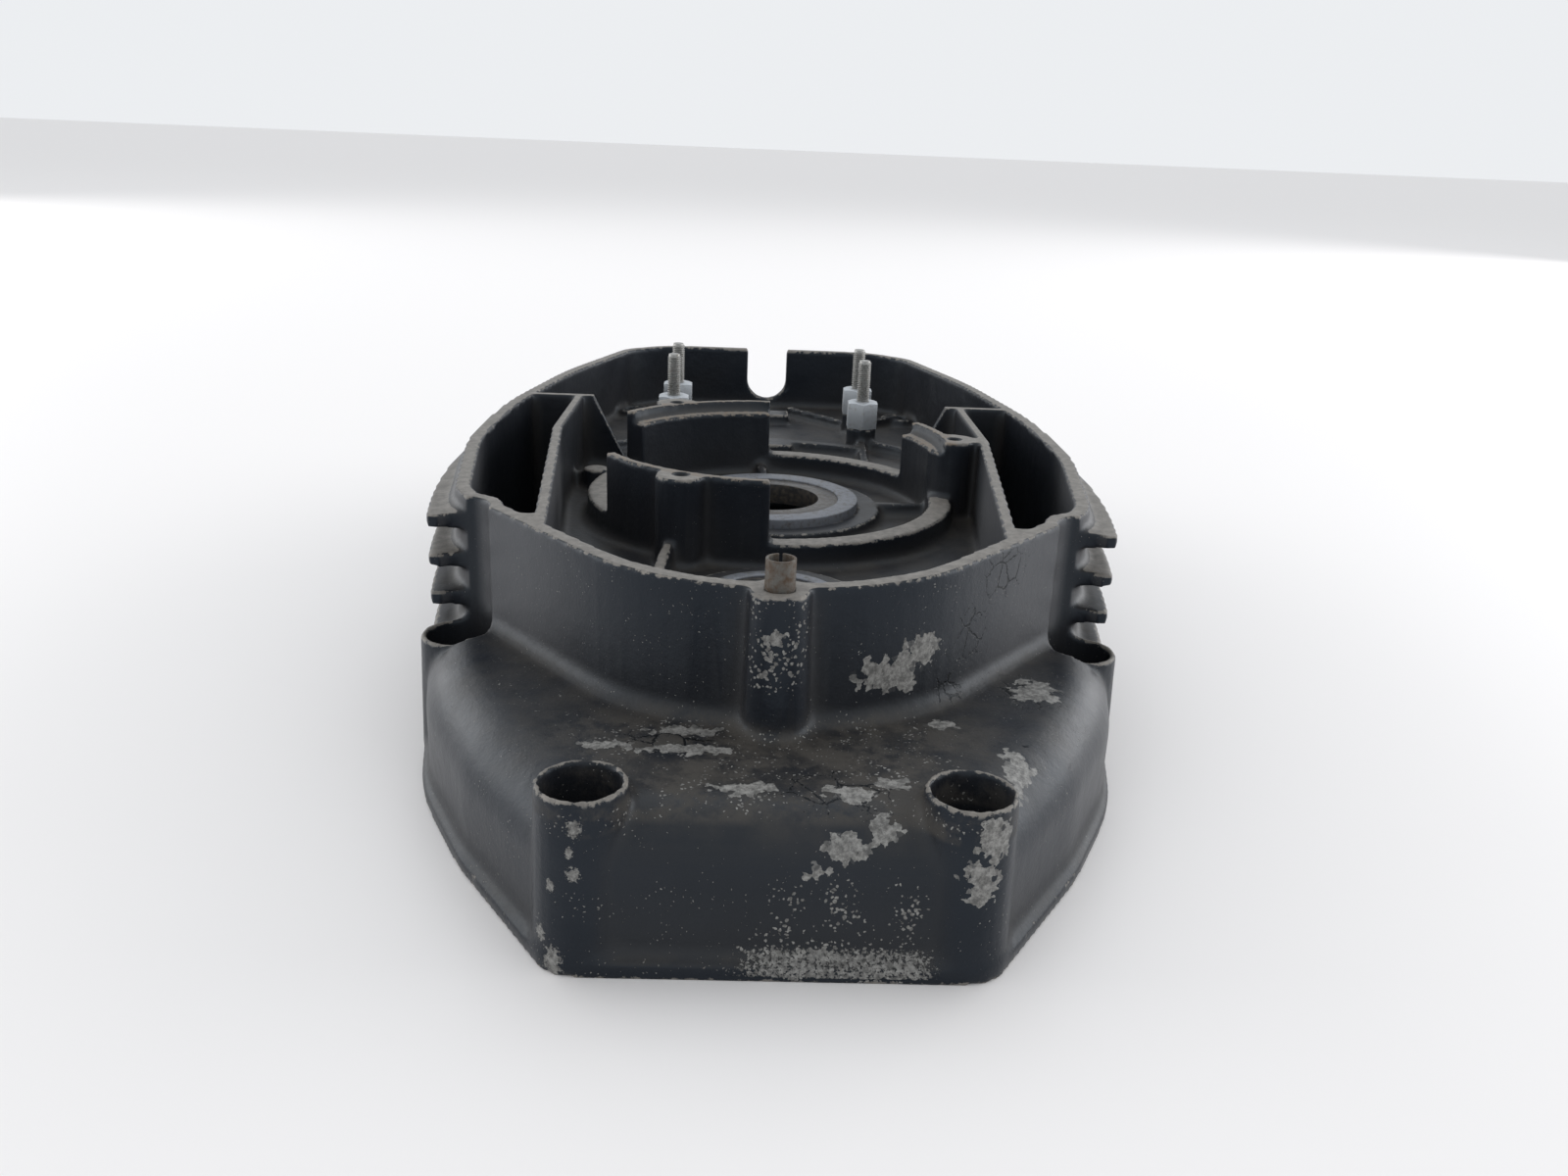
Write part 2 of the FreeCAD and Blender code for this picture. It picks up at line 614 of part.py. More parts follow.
def rectifierMounts():
    for name, x, y in postPlaces():
        crown = Part.makeCone(standoffFlats / 2 + standoffCrown, standoffFlats / 2 - standoffEdge,
                              standoffTop - postBossTop, vec(x, y, postBossTop))
        body = hexagon(standoffFlats, standoffTurn, postBossTop, standoffTop, x, y).common(crown)
        body = body.cut(cyl(studCore, postBossTop - over, standoffTop + over, x, y))
        save("rectifier_standoff_" + name, body)
        stud = cyl(studRadius, standoffTop, studTop, x, y).fuse(
            cyl(studCore, postBossTop - studGrip, standoffTop, x, y))
        end = topEdges(stud, studTop)
        save("rectifier_stud_" + name, stud.makeChamfer(studChamfer, end))


def locatingSleeve():
    # rolled steel sleeve with a slit, squeezed a little where its boss holds it
    low = rimHeight - sleeveDepth
    bore = sleeveRadius - sleeveWall
    tube = ring(sleeveRadius, bore, rimHeight, sleeveTop, 0, -rimFront).fuse(
        ring(sleeveRadius - sleeveSqueeze, bore, low, rimHeight, 0, -rimFront))
    slit = box(-sleeveSlit / 2, sleeveSlit / 2, -rimFront, -rimFront + sleeveRadius + over,
               low - over, sleeveTop + over)
    save("locating_sleeve", tube.cut(slit))


os.makedirs("parts", exist_ok=True)
save("cover_casting", coverCasting())
oilSeal("crank", sealOd, sealWidth, shaftDia, crankBossTop + sealProud, 0)
oilSeal("cam", camSealOd, camSealWidth, camShaftDia, camBossTop + camSealProud, -camDistance)
crankBearing()
circlip()
rectifierMounts()
locatingSleeve()
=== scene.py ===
import json
import math
import bmesh
import bpy
import numpy as np
from mathutils import Matrix, Vector

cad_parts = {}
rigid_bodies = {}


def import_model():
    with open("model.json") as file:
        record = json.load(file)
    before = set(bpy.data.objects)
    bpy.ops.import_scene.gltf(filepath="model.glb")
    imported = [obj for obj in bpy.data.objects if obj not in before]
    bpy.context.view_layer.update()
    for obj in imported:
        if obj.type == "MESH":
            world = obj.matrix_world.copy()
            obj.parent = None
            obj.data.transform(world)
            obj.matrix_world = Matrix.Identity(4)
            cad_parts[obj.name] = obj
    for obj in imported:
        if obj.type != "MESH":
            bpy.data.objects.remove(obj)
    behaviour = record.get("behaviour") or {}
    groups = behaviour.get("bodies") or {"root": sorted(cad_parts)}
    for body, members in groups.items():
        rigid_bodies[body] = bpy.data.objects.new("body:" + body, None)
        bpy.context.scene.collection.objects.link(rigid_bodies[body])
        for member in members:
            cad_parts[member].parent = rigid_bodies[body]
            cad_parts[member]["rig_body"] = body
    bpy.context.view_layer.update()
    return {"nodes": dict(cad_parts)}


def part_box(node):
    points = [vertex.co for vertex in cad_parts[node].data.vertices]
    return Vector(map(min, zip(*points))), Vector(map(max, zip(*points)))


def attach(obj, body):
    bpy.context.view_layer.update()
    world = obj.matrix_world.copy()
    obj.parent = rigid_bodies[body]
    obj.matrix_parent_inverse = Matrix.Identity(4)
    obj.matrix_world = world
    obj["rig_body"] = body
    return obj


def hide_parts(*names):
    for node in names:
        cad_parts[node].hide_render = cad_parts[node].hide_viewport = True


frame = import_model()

# Looks of a cast engine front cover that lies on its mating face: worn black paint over aluminium, with its
# bearing, seals, rectifier studs and locating sleeve. Lengths are in metres, except inside the materials,
# where places are turned into millimetres.

scene = bpy.context.scene
cadNodes = frame["nodes"]
mm = 0.001


def middleOf(name):
    low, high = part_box(name)
    return (low + high) / 2


crankAxis = middleOf("crank_bearing_inner_race")


# node helpers

def fill(tree, sockets, values):
    # each value is either another node's output or plain
    for key, value in values.items():
        if isinstance(value, bpy.types.NodeSocket):
            tree.links.new(value, sockets[key])
        else:
            sockets[key].default_value = value


def addNode(tree, kind, inputs=None, **settings):
    node = tree.nodes.new("ShaderNode" + kind)
    for name, value in settings.items():
        setattr(node, name, value)
    fill(tree, node.inputs, inputs or {})
    return node


def calc(tree, operation, a, b=0.5, c=0.5):
    return addNode(tree, "Math", {0: a, 1: b, 2: c}, operation=operation).outputs[0]


def product(tree, first, *others):
    for other in others:
        first = calc(tree, "MULTIPLY", first, other)
    return first


def most(tree, first, *others):
    for other in others:
        first = calc(tree, "MAXIMUM", first, other)
    return first


def fade(tree, value, low, high):
    # 0 at low, 1 at high, smooth between
    return addNode(tree, "MapRange", {"Value": value, "From Min": low, "From Max": high},
                   interpolation_type="SMOOTHSTEP").outputs["Result"]


def spread(tree, value, low, high):
    # a 0 to 1 mask turned into low to high
    return addNode(tree, "MapRange", {"Value": value, "To Min": low, "To Max": high}).outputs["Result"]


def mixColour(tree, share, under, over):
    return addNode(tree, "Mix", {0: share, 6: under, 7: over}, data_type="RGBA").outputs[2]


def mixValue(tree, share, under, over):
    return addNode(tree, "Mix", {0: share, 2: under, 3: over}).outputs[0]


def noise(tree, place, scale, detail=3.0, roughness=0.55):
    return addNode(tree, "TexNoise", {"Vector": place, "Scale": scale, "Detail": detail,
                                      "Roughness": roughness}).outputs["Fac"]


def placeInMillimetres(tree):
    place = addNode(tree, "TexCoord").outputs["Object"]
    return addNode(tree, "VectorMath", {0: place, "Scale": 1000.0}, operation="SCALE").outputs[0]


def parts(tree, vector):
    # x, y and z of a vector
    return addNode(tree, "SeparateXYZ", {0: vector}).outputs


def facing(tree, axis):
    # how far the surface faces along X, Y or Z
    return parts(tree, addNode(tree, "NewGeometry").outputs["Normal"])[axis]


def absolute(tree, value):
    return calc(tree, "ABSOLUTE", value)


def attribute(tree, name):
    return addNode(tree, "Attribute", attribute_name=name).outputs["Fac"]


def newGroup(name, inputs, outputs):
    # a shared effect: inputs are (name, kind, value), outputs are (name, kind)
    tree = bpy.data.node_groups.new(name, "ShaderNodeTree")
    for title, kind, value in inputs:
        socket = tree.interface.new_socket(title, in_out="INPUT", socket_type="NodeSocket" + kind)
        if value is not None:
            socket.default_value = value
    for title, kind in outputs:
        tree.interface.new_socket(title, in_out="OUTPUT", socket_type="NodeSocket" + kind)
    return tree, tree.nodes.new("NodeGroupInput").outputs, tree.nodes.new("NodeGroupOutput").inputs


def placeGroup(tree, group, inputs):
    node = tree.nodes.new("ShaderNodeGroup")
    node.node_tree = group
    fill(tree, node.inputs, inputs)
    return node.outputs


# shared effects

# noises: (waves in a millimetre, detail, roughness)
effectPatterns = {
    "pimples": (1.3, 2.0, 0.6),
    "waves": (0.16, 2.0),
    "mottle": (0.035, 4.0, 0.6),
    "edgeBreaks": (0.45, 5.0, 0.65),
    "dustClouds": (0.09, 5.0, 0.6),
}


def castGrainGroup():
    # skin of a die casting: fine pimples, soft waves, and a slow mottling of its tone
    tree, given, result = newGroup("cast grain", [("Place", "Vector", None)],
                                   [("Height", "Float"), ("Mottle", "Float")])
    fine = noise(tree, given["Place"], *effectPatterns["pimples"])
    waves = noise(tree, given["Place"], *effectPatterns["waves"])
    tree.links.new(calc(tree, "ADD", product(tree, fine, 0.35), product(tree, waves, 1.2)), result["Height"])
    tree.links.new(noise(tree, given["Place"], *effectPatterns["mottle"]), result["Mottle"])
    return tree


def paintPatchGroup():
    # one place where paint has come away: an ellipsoid whose edge follows the flakes
    tree, given, result = newGroup("paint patch", [("Flake", "Vector", None), ("Ragged", "Float", 0.5),
                                                   ("Middle", "Vector", None), ("Reach", "Vector", None)],
                                   [("Mask", "Float")])
    away = addNode(tree, "VectorMath", {0: given["Flake"], 1: given["Middle"]},
                   operation="SUBTRACT").outputs[0]
    share = addNode(tree, "VectorMath", {0: away, 1: given["Reach"]}, operation="DIVIDE").outputs[0]
    length = addNode(tree, "VectorMath", {0: share}, operation="LENGTH").outputs["Value"]
    tree.links.new(fade(tree, calc(tree, "ADD", length, given["Ragged"]), 1.04, 0.96), result["Mask"])
    return tree


def edgeWearGroup():
    # bare metal along the outside edges, broken up by noise
    tree, given, result = newGroup("edge wear", [("Place", "Vector", None), ("Edge", "Float", 0.0),
                                                 ("Amount", "Float", 0.5)], [("Mask", "Float")])
    broken = noise(tree, given["Place"], *effectPatterns["edgeBreaks"])
    reach = calc(tree, "MULTIPLY_ADD", calc(tree, "SUBTRACT", broken, 0.5), 1.6, given["Edge"])
    start = calc(tree, "SUBTRACT", 1.25, given["Amount"])
    tree.links.new(fade(tree, calc(tree, "SUBTRACT", reach, start), 0.0, 0.12), result["Mask"])
    return tree


def settledDustGroup():
    # dust lies on what faces up and gathers in the corners
    tree, given, result = newGroup("settled dust", [("Place", "Vector", None), ("Hollow", "Float", 0.0),
                                                    ("Amount", "Float", 0.5)], [("Mask", "Float")])
    cloudy = fade(tree, noise(tree, given["Place"], *effectPatterns["dustClouds"]), 0.3, 0.75)
    lying = fade(tree, facing(tree, "Z"), 0.2, 0.95)
    corner = given["Hollow"]
    film = calc(tree, "ADD", product(tree, lying, cloudy), corner)
    tree.links.new(product(tree, film, given["Amount"]), result["Mask"])
    return tree


def handledMetalGroup():
    # stains and dull patches of bare steel or alloy that has been in use
    tree, given, result = newGroup("handled metal", [("Place", "Vector", None), ("Scale", "Float", 1.0),
                                                     ("Dirt", "Float", 0.5)],
                                   [("Stain", "Float"), ("Dull", "Float"), ("Height", "Float")])
    scale = given["Scale"]
    stain = noise(tree, given["Place"], product(tree, scale, 0.5), 5.0, 0.65)
    low = calc(tree, "SUBTRACT", 0.85, product(tree, given["Dirt"], 0.6))
    stained = addNode(tree, "MapRange", {"Value": stain, "From Min": low,
                                         "From Max": calc(tree, "ADD", low, 0.25)}).outputs["Result"]
    tree.links.new(stained, result["Stain"])
    tree.links.new(noise(tree, given["Place"], product(tree, scale, 1.7), 3.0), result["Dull"])
    tree.links.new(noise(tree, given["Place"], product(tree, scale, 4.0), 3.0, 0.6), result["Height"])
    return tree


castGrain = castGrainGroup()
paintPatch = paintPatchGroup()
edgeWear = edgeWearGroup()
settledDust = settledDustGroup()
handledMetal = handledMetalGroup()
print("shared effects made")


def newMaterial(name):
    material = bpy.data.materials.new(name)
    material.use_nodes = True
    tree = material.node_tree
    tree.nodes.clear()
    shader = addNode(tree, "BsdfPrincipled")
    output = addNode(tree, "OutputMaterial", {"Surface": shader.outputs[0]})
    output.is_active_output = True
    return material, tree, shader


def finish(tree, shader, colour, roughness, metallic, height, relief):
    # relief is the depth of the bump in metres
    bump = addNode(tree, "Bump", {"Strength": 1.0, "Distance": relief, "Height": height})
    fill(tree, shader.inputs, {"Base Color": colour, "Roughness": roughness, "Metallic": metallic,
                               "Normal": bump.outputs[0]})


# worn black paint on the casting

blackPaint = {
    "paint": (0.0050, 0.0062, 0.0092, 1),
    "fadedPaint": (0.017, 0.0195, 0.025, 1),
    "sheen": (0.74, 0.87, 1.0, 1),           # tint of its reflections
    "alloy": (0.27, 0.25, 0.225, 1),         # aluminium rubbed bare
    "oldAlloy": (0.15, 0.14, 0.127, 1),      # aluminium gone dull
    "seatRust": (0.17, 0.125, 0.085, 1),     # stain the stator left on its seat
    "primer": (0.115, 0.112, 0.106, 1),      # dull grey under a flake that has come away
    "freshFlake": (0.29, 0.285, 0.27, 1),    # the same where it came away lately
    "dust": (0.062, 0.055, 0.046, 1),
    "grime": (0.070, 0.062, 0.052, 1),
    "chalkAndSideLight": (0.13, 0.13, 0.135, 1),         # paint weathered pale on the fins and the rim's cheeks; on the cheeks it is also painted side light
    "crack": (0.002, 0.002, 0.002, 1),
    "paintRoughness": (0.28, 0.44),
    "wornRoughness": 0.62,
    "bareMetallic": (0.1, 0.5),
    "gloss": 0.27,
    "dustAmount": 0.42,
    "edgeAmount": 0.48,
    "paintLift": 0.8,                        # how far the paint stands above bare metal, as a share of relief
    "relief": 0.00016,
}

paintPatterns = {
    # cells in a millimetre
    "flakes": 0.85,
    "plates": 0.17,                          # pieces of paint between cracks
    "flecks": 0.95,
    # noises: (waves in a millimetre, detail, roughness)
    "shake": (1.1, 3.0),                     # waver in the sides of flakes, flecks and cracks
    "flakeOutline": (0.30, 3.0, 0.65),
    "breakUp": (0.6, 4.0, 0.6),
    "fineBreak": (1.3, 4.0, 0.75),
    "fleckCrowds": (0.13, 3.0),
    "grime": (0.11, 6.0, 0.7),
    "metal": (0.35, 5.0, 0.7),
    "flakeTone": (0.8, 5.0, 0.75),
}

# Where each kind of wear lies, and where the cheeks take painted side light: (measure, where it starts, where
# it is full).
# Lengths are in millimetres from the middle of the cover's underside, and two limits on one measure make a
# band. aside is the distance from the middle plane, on either side. upward and sideways are 1 where the
# surface faces fully that way.
wearZones = {
    "lowerFront": [("y", -170, -176), ("x", -14, 4), ("x", 36, 22), ("z", 27, 12)],
    "column": [("y", -140, -142.5), ("aside", 8, 5), ("z", 38, 46)],
    "shoulder": [("y", -128, -140), ("z", 28.5, 30), ("z", 36, 33), ("aside", 62, 30)],
    "frontHalf": [("y", 20, -120)],
    "bottomLip": [("y", -177, -178.6), ("z", 9, 4.5), ("z", 0.2, 1.4), ("x", -20, 0), ("x", 40, 26)],
    "topFaces": [("upward", 0.78, 0.98), ("z", 43, 44)],
    "finTops": [("aside", 84, 88), ("upward", 0.1, 0.5)],
    # the cheeks' pale tone grows as the surface faces sideways: painted side light as well as weathering
    "sideLitCheeks": [("sideways", 0.30, 0.75), ("z", 31, 38), ("y", 0, -40), ("aside", 40, 62)],
    "notUpright": [("upward", 0.10, 0.40)],
    "foot": [("z", 3.0, 1.5)],
    "statorSeat": [("fromCrank", 48, 49), ("fromCrank", 58, 57), ("z", 51, 55)],
}
# how big flecks grow in each zone that has them
fleckedZones = {"lowerFront": 0.80, "column": 0.68, "shoulder": 0.36, "frontHalf": 0.2}

# places where the paint has flaked, each (middle, reach) in millimetres
flakedPlaces = [
    ((24, -132.5, 42.5), (8, 6, 4.2)), ((32, -128.5, 46.8), (5.5, 5, 3.4)), ((28, -131, 39.2), (4, 4, 1.6)),
    ((-0.5, -145, 54.5), (2.4, 3, 1.6)), ((-19, -141.7, 32), (7.5, 1.9, 2.5)),
    ((-34.5, -149, 32), (5, 1.8, 2.5)), ((-18.5, -150, 32), (8.5, 2.0, 2.5)),
    ((-6, -165.5, 32), (6, 2.4, 2.5)), ((14.5, -166.5, 31.5), (5.5, 2.8, 3)),
    ((22.5, -162.5, 32), (3.6, 2.2, 2.5)), ((35.6, -135.5, 32), (3.6, 2.2, 2.5)),
    ((59.5, -116, 32), (5, 5.5, 2.5)), ((48.8, -154.5, 30.5), (3.2, 8.5, 4)),
    ((12.8, -176.8, 26.3), (4.2, 3.2, 2.4)), ((19.8, -174.8, 28.4), (3.2, 4, 2.2)),
    ((8, -178.6, 22), (2.2, 2, 1.7)), ((39.8, -180.2, 30.5), (3.2, 3.2, 5)),
    ((38.2, -180.8, 21.5), (4.2, 3, 4.2)),
]
crackedPlaces = [
    ((52, -106, 57), (11, 9, 6)), ((44, -117, 46), (7, 7, 6)), ((38, -123, 35), (6, 5, 4)),
    ((58, -117, 32), (9, 9, 4)), ((-22, -146, 32), (10, 6, 4)), ((12, -165, 31), (12, 7, 4)),
]
smallChips = [
    ((-36.7, -181, 21.7), (1.4, 2, 1.7)), ((-37.4, -180.8, 26.2), (0.9, 2, 1.4)),
    ((-41.1, -179.6, 18.5), (0.9, 2, 1.5)), ((-43.4, -178, 7.5), (1.1, 2, 1.8)),
    ((-41, -180.8, 2.6), (2.0, 2.4, 4)), ((-36.5, -181, 31), (1.5, 2, 2.2)),
]


def measuresOf(tree, place):
    # what the wear zones are measured by
    x, y, z = (parts(tree, place)[axis] for axis in "XYZ")
    north = calc(tree, "ADD", y, -crankAxis.y / mm)
    fromCrank = calc(tree, "SQRT", calc(tree, "MULTIPLY_ADD", north, north, product(tree, x, x)))
    return {"x": x, "y": y, "z": z, "aside": absolute(tree, x), "fromCrank": fromCrank,
            "upward": facing(tree, "Z"), "sideways": absolute(tree, facing(tree, "X"))}


def zone(tree, measures, name):
    return product(tree, *[fade(tree, measures[measure], start, full)
                           for measure, start, full in wearZones[name]])


def patchesAt(tree, spot, ragged, places):
    return most(tree, *[placeGroup(tree, paintPatch, {"Flake": spot, "Ragged": ragged, "Middle": middle,
                                                      "Reach": reach})["Mask"] for middle, reach in places])


def brokenPaint(tree, place, measures, patterns):
    # masks of the flakes, chips and flecks that have come off, and of the cracks
    scale, detail = patterns["shake"]
    shake = addNode(tree, "TexNoise", {"Vector": place, "Scale": scale, "Detail": detail}).outputs["Color"]
    shaken = addNode(tree, "VectorMath", {0: shake, 1: (1.1, 1.1, 1.1), 2: place},
                     operation="MULTIPLY_ADD").outputs[0]
    fineBreak = noise(tree, place, *patterns["fineBreak"])

    # flakes come away in whole ragged cells, so their sides are angular
    cells = addNode(tree, "TexVoronoi", {"Vector": shaken, "Scale": patterns["flakes"]})
    flake = addNode(tree, "VectorMath", {0: cells.outputs["Position"], 1: (0.55, 0.55, 0.55)},
                    operation="SUBTRACT").outputs[0]
    ragged = calc(tree, "MULTIPLY_ADD", noise(tree, flake, *patterns["flakeOutline"]), 2.6, -1.30)
    flaked = patchesAt(tree, flake, ragged, flakedPlaces)
    jagged = calc(tree, "MULTIPLY_ADD", fineBreak, 3.0, -1.35)
    chipped = patchesAt(tree, place, jagged, smallChips)

    # cracks run round the plates of paint that are still stuck down
    plates = addNode(tree, "TexVoronoi", {"Vector": shaken, "Scale": patterns["plates"]},
                     feature="DISTANCE_TO_EDGE")
    crackedHere = patchesAt(tree, place, jagged, crackedPlaces)
    cracks = product(tree, fade(tree, plates.outputs["Distance"], 0.045, 0.02), crackedHere)

    # flecks are pin-point chips, thick on the lower front face, the column and the shoulder
    spots = addNode(tree, "TexVoronoi", {"Vector": shaken, "Scale": patterns["flecks"]})
    spotSize = calc(tree, "MULTIPLY_ADD", noise(tree, place, *patterns["fleckCrowds"]), 2.4, -0.75)
    likely = most(tree, *[product(tree, zone(tree, measures, name), amount)
                          for name, amount in fleckedZones.items()])
    reach = calc(tree, "SUBTRACT", product(tree, spotSize, likely), spots.outputs["Distance"])
    flecks = fade(tree, reach, -0.03, 0.03)

    # the bottom lip's front edge is rubbed bare
    lip = calc(tree, "MULTIPLY_ADD", fineBreak, 1.9, zone(tree, measures, "bottomLip"))
    return most(tree, flaked, chipped, flecks, fade(tree, lip, 1.80, 1.90)), cracks


def rubbedMetal(tree, place, measures, settings, patterns):
    # mask of the wall tops and outside edges that rub bare
    breakUp = noise(tree, place, *patterns["breakUp"])
    flat = calc(tree, "MULTIPLY_ADD", breakUp, -0.5, zone(tree, measures, "topFaces"))
    worn = placeGroup(tree, edgeWear, {"Place": place, "Edge": attribute(tree, "edge"),
                                       "Amount": settings["edgeAmount"]})["Mask"]
    reached = most(tree, zone(tree, measures, "notUpright"), zone(tree, measures, "foot"))
    return most(tree, fade(tree, flat, 0.30, 0.55), product(tree, worn, reached))


def bareColour(tree, place, measures, rubbed, settings, patterns):
    # colour of the metal where the paint is gone, and its tone
    tone = fade(tree, noise(tree, place, *patterns["metal"]), 0.3, 0.75)
    flakeTone = fade(tree, noise(tree, place, *patterns["flakeTone"]), 0.36, 0.66)
    flaked = mixColour(tree, flakeTone, settings["primer"], settings["freshFlake"])
    metal = mixColour(tree, tone, settings["oldAlloy"], settings["alloy"])
    metal = mixColour(tree, rubbed, flaked, metal)
    seat = product(tree, zone(tree, measures, "statorSeat"), tone, 0.8)
    return mixColour(tree, seat, metal, settings["seatRust"]), tone


def paintedCasting(settings, patterns):
    material, tree, shader = newMaterial("worn_black_paint")
    place = placeInMillimetres(tree)
    measures = measuresOf(tree, place)
    grain = placeGroup(tree, castGrain, {"Place": place})
    broken, cracks = brokenPaint(tree, place, measures, patterns)
    rubbed = rubbedMetal(tree, place, measures, settings, patterns)
    bare = most(tree, rubbed, broken)
    metal, tone = bareColour(tree, place, measures, rubbed, settings, patterns)

    dust = placeGroup(tree, settledDust, {"Place": place, "Hollow": attribute(tree, "hollow"),
                                          "Amount": settings["dustAmount"]})["Mask"]
    cloudy = fade(tree, noise(tree, place, *patterns["grime"]), 0.40, 0.58)
    grime = product(tree, zone(tree, measures, "shoulder"), cloudy)
    # pale paint on the fins and the cheeks: weathering, and on the side-facing cheeks painted side light
    paleAndSideLit = most(tree, product(tree, zone(tree, measures, "finTops"), 0.55),
                  product(tree, zone(tree, measures, "sideLitCheeks"), 0.42))
    paint = mixColour(tree, grain["Mottle"], settings["paint"], settings["fadedPaint"])
    paint = mixColour(tree, dust, paint, settings["dust"])
    paint = mixColour(tree, product(tree, grime, 0.55), paint, settings["grime"])
    paint = mixColour(tree, paleAndSideLit, paint, settings["chalkAndSideLight"])
    paint = mixColour(tree, cracks, paint, settings["crack"])

    colour = mixColour(tree, bare, paint, metal)
    paintRough = spread(tree, grain["Mottle"], *settings["paintRoughness"])
    roughness = mixValue(tree, most(tree, dust, bare, grime, paleAndSideLit), paintRough, settings["wornRoughness"])
    metallic = product(tree, bare, spread(tree, tone, *settings["bareMetallic"]))
    stuckDown = calc(tree, "SUBTRACT", 1.0, most(tree, bare, cracks))
    lift = calc(tree, "ADD", grain["Height"], product(tree, stuckDown, settings["paintLift"]))
    finish(tree, shader, colour, roughness, metallic, lift, settings["relief"])
    shader.inputs["Specular IOR Level"].default_value = settings["gloss"]
    shader.inputs["Specular Tint"].default_value = settings["sheen"]
    return material


# metals and rubber

metals = {
    "dusty_seal_steel": dict(clean=(0.175, 0.187, 0.21, 1), stain=(0.07, 0.062, 0.05, 1), rough=(0.42, 0.65),
                             metal=0.55, scale=1.2, dirt=0.6, relief=0.00006),
    "bearing_steel": dict(clean=(0.50, 0.50, 0.50, 1), stain=(0.20, 0.15, 0.09, 1), rough=(0.16, 0.34),
                          metal=1.0, scale=0.8, dirt=0.35, relief=0.00001),
    "ball_steel": dict(clean=(0.60, 0.60, 0.60, 1), stain=(0.32, 0.28, 0.22, 1), rough=(0.06, 0.14),
                       metal=1.0, scale=0.6, dirt=0.2, relief=0.000002),
    "cage_steel": dict(clean=(0.45, 0.44, 0.42, 1), stain=(0.16, 0.12, 0.08, 1), rough=(0.26, 0.45),
                       metal=1.0, scale=1.0, dirt=0.5, relief=0.00002),
    "circlip_steel": dict(clean=(0.07, 0.07, 0.075, 1), stain=(0.14, 0.08, 0.04, 1), rough=(0.35, 0.55),
                          metal=0.8, scale=1.2, dirt=0.4, relief=0.00003),
    "spring_steel": dict(clean=(0.40, 0.40, 0.40, 1), stain=(0.14, 0.11, 0.07, 1), rough=(0.28, 0.45),
                         metal=1.0, scale=2.0, dirt=0.4, relief=0.00003),
    "rusty_sleeve_steel": dict(clean=(0.12, 0.115, 0.105, 1), stain=(0.075, 0.048, 0.030, 1),
                               rough=(0.38, 0.7), metal=0.75, scale=1.0, dirt=0.75, relief=0.00007),
    "standoff_alloy": dict(clean=(0.46, 0.49, 0.52, 1), stain=(0.26, 0.25, 0.23, 1), rough=(0.38, 0.6),
                           metal=0.6, scale=0.9, dirt=0.5, relief=0.00005),
    "dull_stud_steel": dict(clean=(0.33, 0.33, 0.32, 1), stain=(0.13, 0.10, 0.07, 1), rough=(0.34, 0.55),
                            metal=0.9, scale=1.6, dirt=0.5, relief=0.00004),
}
stainTakes = 0.4    # share of its metallic look that a metal loses under a full stain


def metalMaterial(name, settings):
    material, tree, shader = newMaterial(name)
    marks = placeGroup(tree, handledMetal, {"Place": placeInMillimetres(tree), "Scale": settings["scale"],
                                            "Dirt": settings["dirt"]})
    colour = mixColour(tree, marks["Stain"], settings["clean"], settings["stain"])
    dull = calc(tree, "MAXIMUM", marks["Dull"], marks["Stain"])
    roughness = spread(tree, dull, *settings["rough"])
    metallic = calc(tree, "MULTIPLY_ADD", marks["Stain"], -stainTakes * settings["metal"], settings["metal"])
    finish(tree, shader, colour, roughness, metallic, marks["Height"], settings["relief"])
    return material


sealRubber = {"clean": (0.020, 0.020, 0.021, 1), "film": (0.055, 0.045, 0.034, 1), "rough": (0.28, 0.55),
              "relief": 0.00004, "filmPattern": (0.7, 4.0, 0.6), "pimples": (3.0, 3.0)}


def rubberMaterial(settings):
    material, tree, shader = newMaterial("oily_seal_rubber")
    place = placeInMillimetres(tree)
    film = fade(tree, noise(tree, place, *settings["filmPattern"]), 0.35, 0.75)
    colour = mixColour(tree, film, settings["clean"], settings["film"])
    finish(tree, shader, colour, spread(tree, film, *settings["rough"]), 0.0,
           noise(tree, place, *settings["pimples"]), settings["relief"])
    return material


materials = {name: metalMaterial(name, settings) for name, settings in metals.items()}
materials["oily_seal_rubber"] = rubberMaterial(sealRubber)
materials["worn_black_paint"] = paintedCasting(blackPaint, paintPatterns)
print("materials made:", len(materials))


# mesh helpers

mergeWithin = 0.002 * mm


def newPiece(name, mesh, materialName, node):
    # a visible piece that stands for one CAD node and moves with that node's body
    piece = bpy.data.objects.new(name, mesh)
    scene.collection.objects.link(piece)
    mesh.materials.clear()
    mesh.materials.append(materials[materialName])
    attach(piece, cadNodes[node]["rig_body"])
    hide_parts(node)
    return piece


def applyModifiers(piece):
    graph = bpy.context.evaluated_depsgraph_get()
    mesh = bpy.data.meshes.new_from_object(piece.evaluated_get(graph))
    piece.modifiers.clear()
    piece.data = mesh
    return mesh


def mergedCopy(node, name):
    # the CAD node's triangles, merged into one closed mesh
    bm = bmesh.new()
    bm.from_mesh(cadNodes[node].data)
    bmesh.ops.remove_doubles(bm, verts=bm.verts, dist=mergeWithin)
    mesh = bpy.data.meshes.new(name)
    bm.to_mesh(mesh)
    bm.free()
    return mesh


def smoothBelow(mesh, degrees):
    # smooth shading, except across edges that turn more than this
    mesh.shade_smooth()
    mesh.set_sharp_from_angle(angle=math.radians(degrees))


def newMesh(bm, name, degrees):
    mesh = bpy.data.meshes.new(name)
    bm.to_mesh(mesh)
    bm.free()
    smoothBelow(mesh, degrees)
    return mesh


def roundOff(bm, edges, width, **options):
    bmesh.ops.bevel(bm, geom=edges, offset=width, segments=2, profile=0.5, affect="EDGES", material=-1,
                    **options)


# the casting

